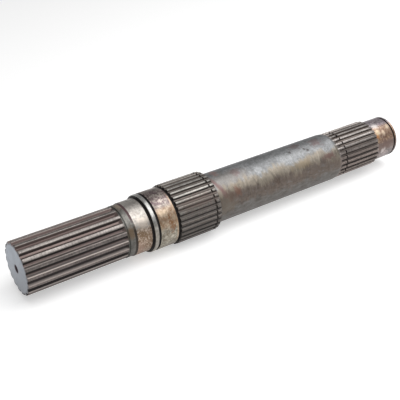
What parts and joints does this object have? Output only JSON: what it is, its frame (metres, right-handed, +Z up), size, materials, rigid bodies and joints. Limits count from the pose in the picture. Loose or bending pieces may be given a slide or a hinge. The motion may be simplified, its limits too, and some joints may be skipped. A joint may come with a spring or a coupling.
{
  "type": "splined shaft",
  "caption": "Steel transmission shaft with a coarse spline at one end, a fine hub spline and a fine gear spline, and ground seats for a seal and bearings.",
  "frame": {"origin": "bottom centre of the shaft's box, under the axis, halfway along its length", "axes": "+X along the shaft's axis from the coarse drive spline to the rear bearing seat, +Z up, the shaft lying with a gap of its hub spline straight down"},
  "size_m": [0.3504, 0.0472, 0.0472],
  "materials": {
    "worn_steel": "machined steel with polished seats, light surface rust and brown stains"
  },
  "bodies": {
    "root": {"shaft": "worn_steel"}
  },
  "joints": []
}
